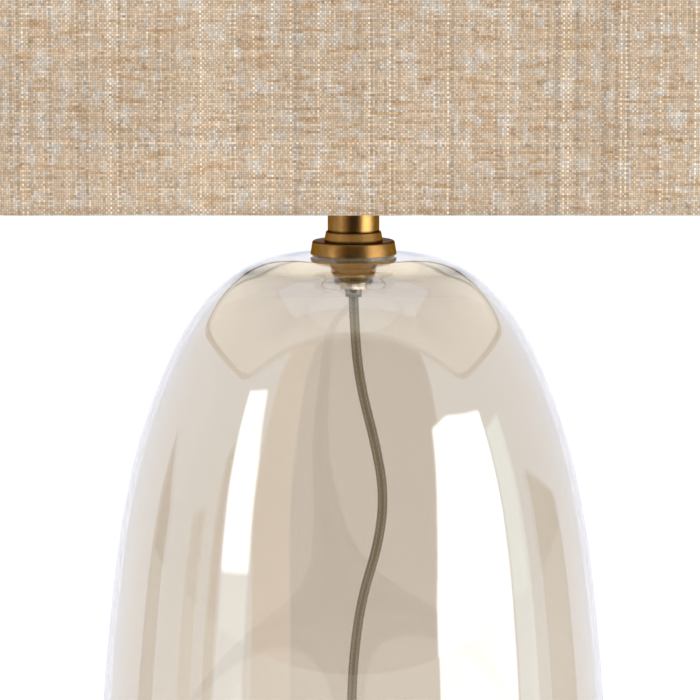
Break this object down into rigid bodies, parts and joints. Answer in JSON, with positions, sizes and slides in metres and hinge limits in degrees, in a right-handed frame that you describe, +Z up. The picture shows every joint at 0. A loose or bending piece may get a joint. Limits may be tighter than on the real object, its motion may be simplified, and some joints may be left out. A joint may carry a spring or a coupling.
{
  "type": "table lamp",
  "caption": "Table lamp with a clear smoke glass dome base, antique brass neck, harp and rectangular linen shade with rounded corners.",
  "frame": {"origin": "on the table under the middle of the glass base", "axes": "+Z up, X along the long side of the shade, -Y to the front, cord leaves to +Y"},
  "size_m": [0.457, 0.3906, 0.7164],
  "materials": {
    "smoke_glass": "clear blown glass with a warm smoke tint and a light lustre, polished",
    "clear_pads": "clear polyurethane bumper pads",
    "grommet_rubber": "soft grey grommet rubber, satin",
    "clear_gasket": "translucent silicone",
    "antique_brass": "antique brass, finely brushed round, lacquered, slightly mottled",
    "zinc_steel": "zinc plated steel",
    "ivory_plastic": "ivory moulded plastic",
    "socket_brass": "thin drawn brass, satin",
    "insulator_card": "brown fibre sleeve",
    "phenolic": "black moulded phenolic",
    "aluminium": "rolled aluminium screw thread",
    "frosted_glass": "soft white frosted glass",
    "linen": "natural beige linen with slubs, laminated",
    "shade_liner": "white styrene lining, satin",
    "white_wire": "white powder coated wire",
    "cord_pvc": "clear to smoky twin flat cord over copper strands",
    "tie_strap": "black hook and loop strap",
    "plug_pvc": "translucent moulded plug",
    "nickel_blades": "nickel plated blades"
  },
  "bodies": {
    "root": {"glass_body": "smoke_glass", "bumper_feet": "clear_pads", "cord_grommet": "grommet_rubber", "cap_gasket": "clear_gasket", "cap_flange": "antique_brass", "neck_ring": "antique_brass", "neck_tube": "antique_brass", "neck_cap": "antique_brass", "threaded_nipple": "zinc_steel", "centering_bush": "clear_gasket", "steel_washer": "zinc_steel", "hex_nut": "zinc_steel", "nipple_bushing": "ivory_plastic", "harp_saddle": "antique_brass", "harp_wire": "antique_brass", "harp_stud": "antique_brass", "socket_cap": "socket_brass", "socket_set_screw": "zinc_steel", "socket_shell": "socket_brass", "socket_insulator": "insulator_card", "socket_body": "phenolic", "socket_screw_shell": "aluminium", "socket_contact": "socket_brass", "terminal_screws": "socket_brass", "socket_leads": "cord_pvc", "cord_riser": "cord_pvc", "cord_run": "cord_pvc", "cord_tail": "cord_pvc", "cord_coil": "cord_pvc", "cord_tie": "tie_strap", "plug_body": "plug_pvc", "plug_blades": "nickel_blades"},
    "shade": {"shade_fabric": "linen", "shade_liner": "shade_liner", "shade_bottom_wire": "white_wire", "shade_top_wire": "white_wire", "spider_hub": "antique_brass", "spider_arms": "white_wire"},
    "finial": {"finial": "antique_brass"},
    "bulb": {"bulb_tip": "zinc_steel", "bulb_insulator": "phenolic", "bulb_screw_base": "aluminium", "bulb_globe": "frosted_glass"},
    "turn_knob": {"switch_shaft": "socket_brass", "turn_knob": "phenolic"},
    "ferrule_left": {"harp_ferrule_left": "antique_brass"},
    "ferrule_right": {"harp_ferrule_right": "antique_brass"}
  },
  "joints": [
    {"name": "shade_turn", "type": "hinge", "parent": "root", "child": "shade", "pos_m": [0, 0, 0.6853], "axis": [0, 0, 1], "continuous": true},
    {"name": "finial_turn", "type": "hinge", "parent": "root", "child": "finial", "pos_m": [0, 0, 0.6973], "axis": [0, 0, 1], "continuous": true},
    {"name": "bulb_turn", "type": "hinge", "parent": "root", "child": "bulb", "pos_m": [0, 0, 0.4869], "axis": [0, 0, 1], "continuous": true},
    {"name": "switch_turn", "type": "hinge", "parent": "root", "child": "turn_knob", "pos_m": [0, -0.02, 0.4613], "axis": [0, -1, 0], "continuous": true},
    {"name": "ferrule_left_lift", "type": "slide", "parent": "root", "child": "ferrule_left", "axis": [0, 0, 1], "range_m": [0, 0.015]},
    {"name": "ferrule_right_lift", "type": "slide", "parent": "root", "child": "ferrule_right", "axis": [0, 0, 1], "range_m": [0, 0.015]}
  ]
}
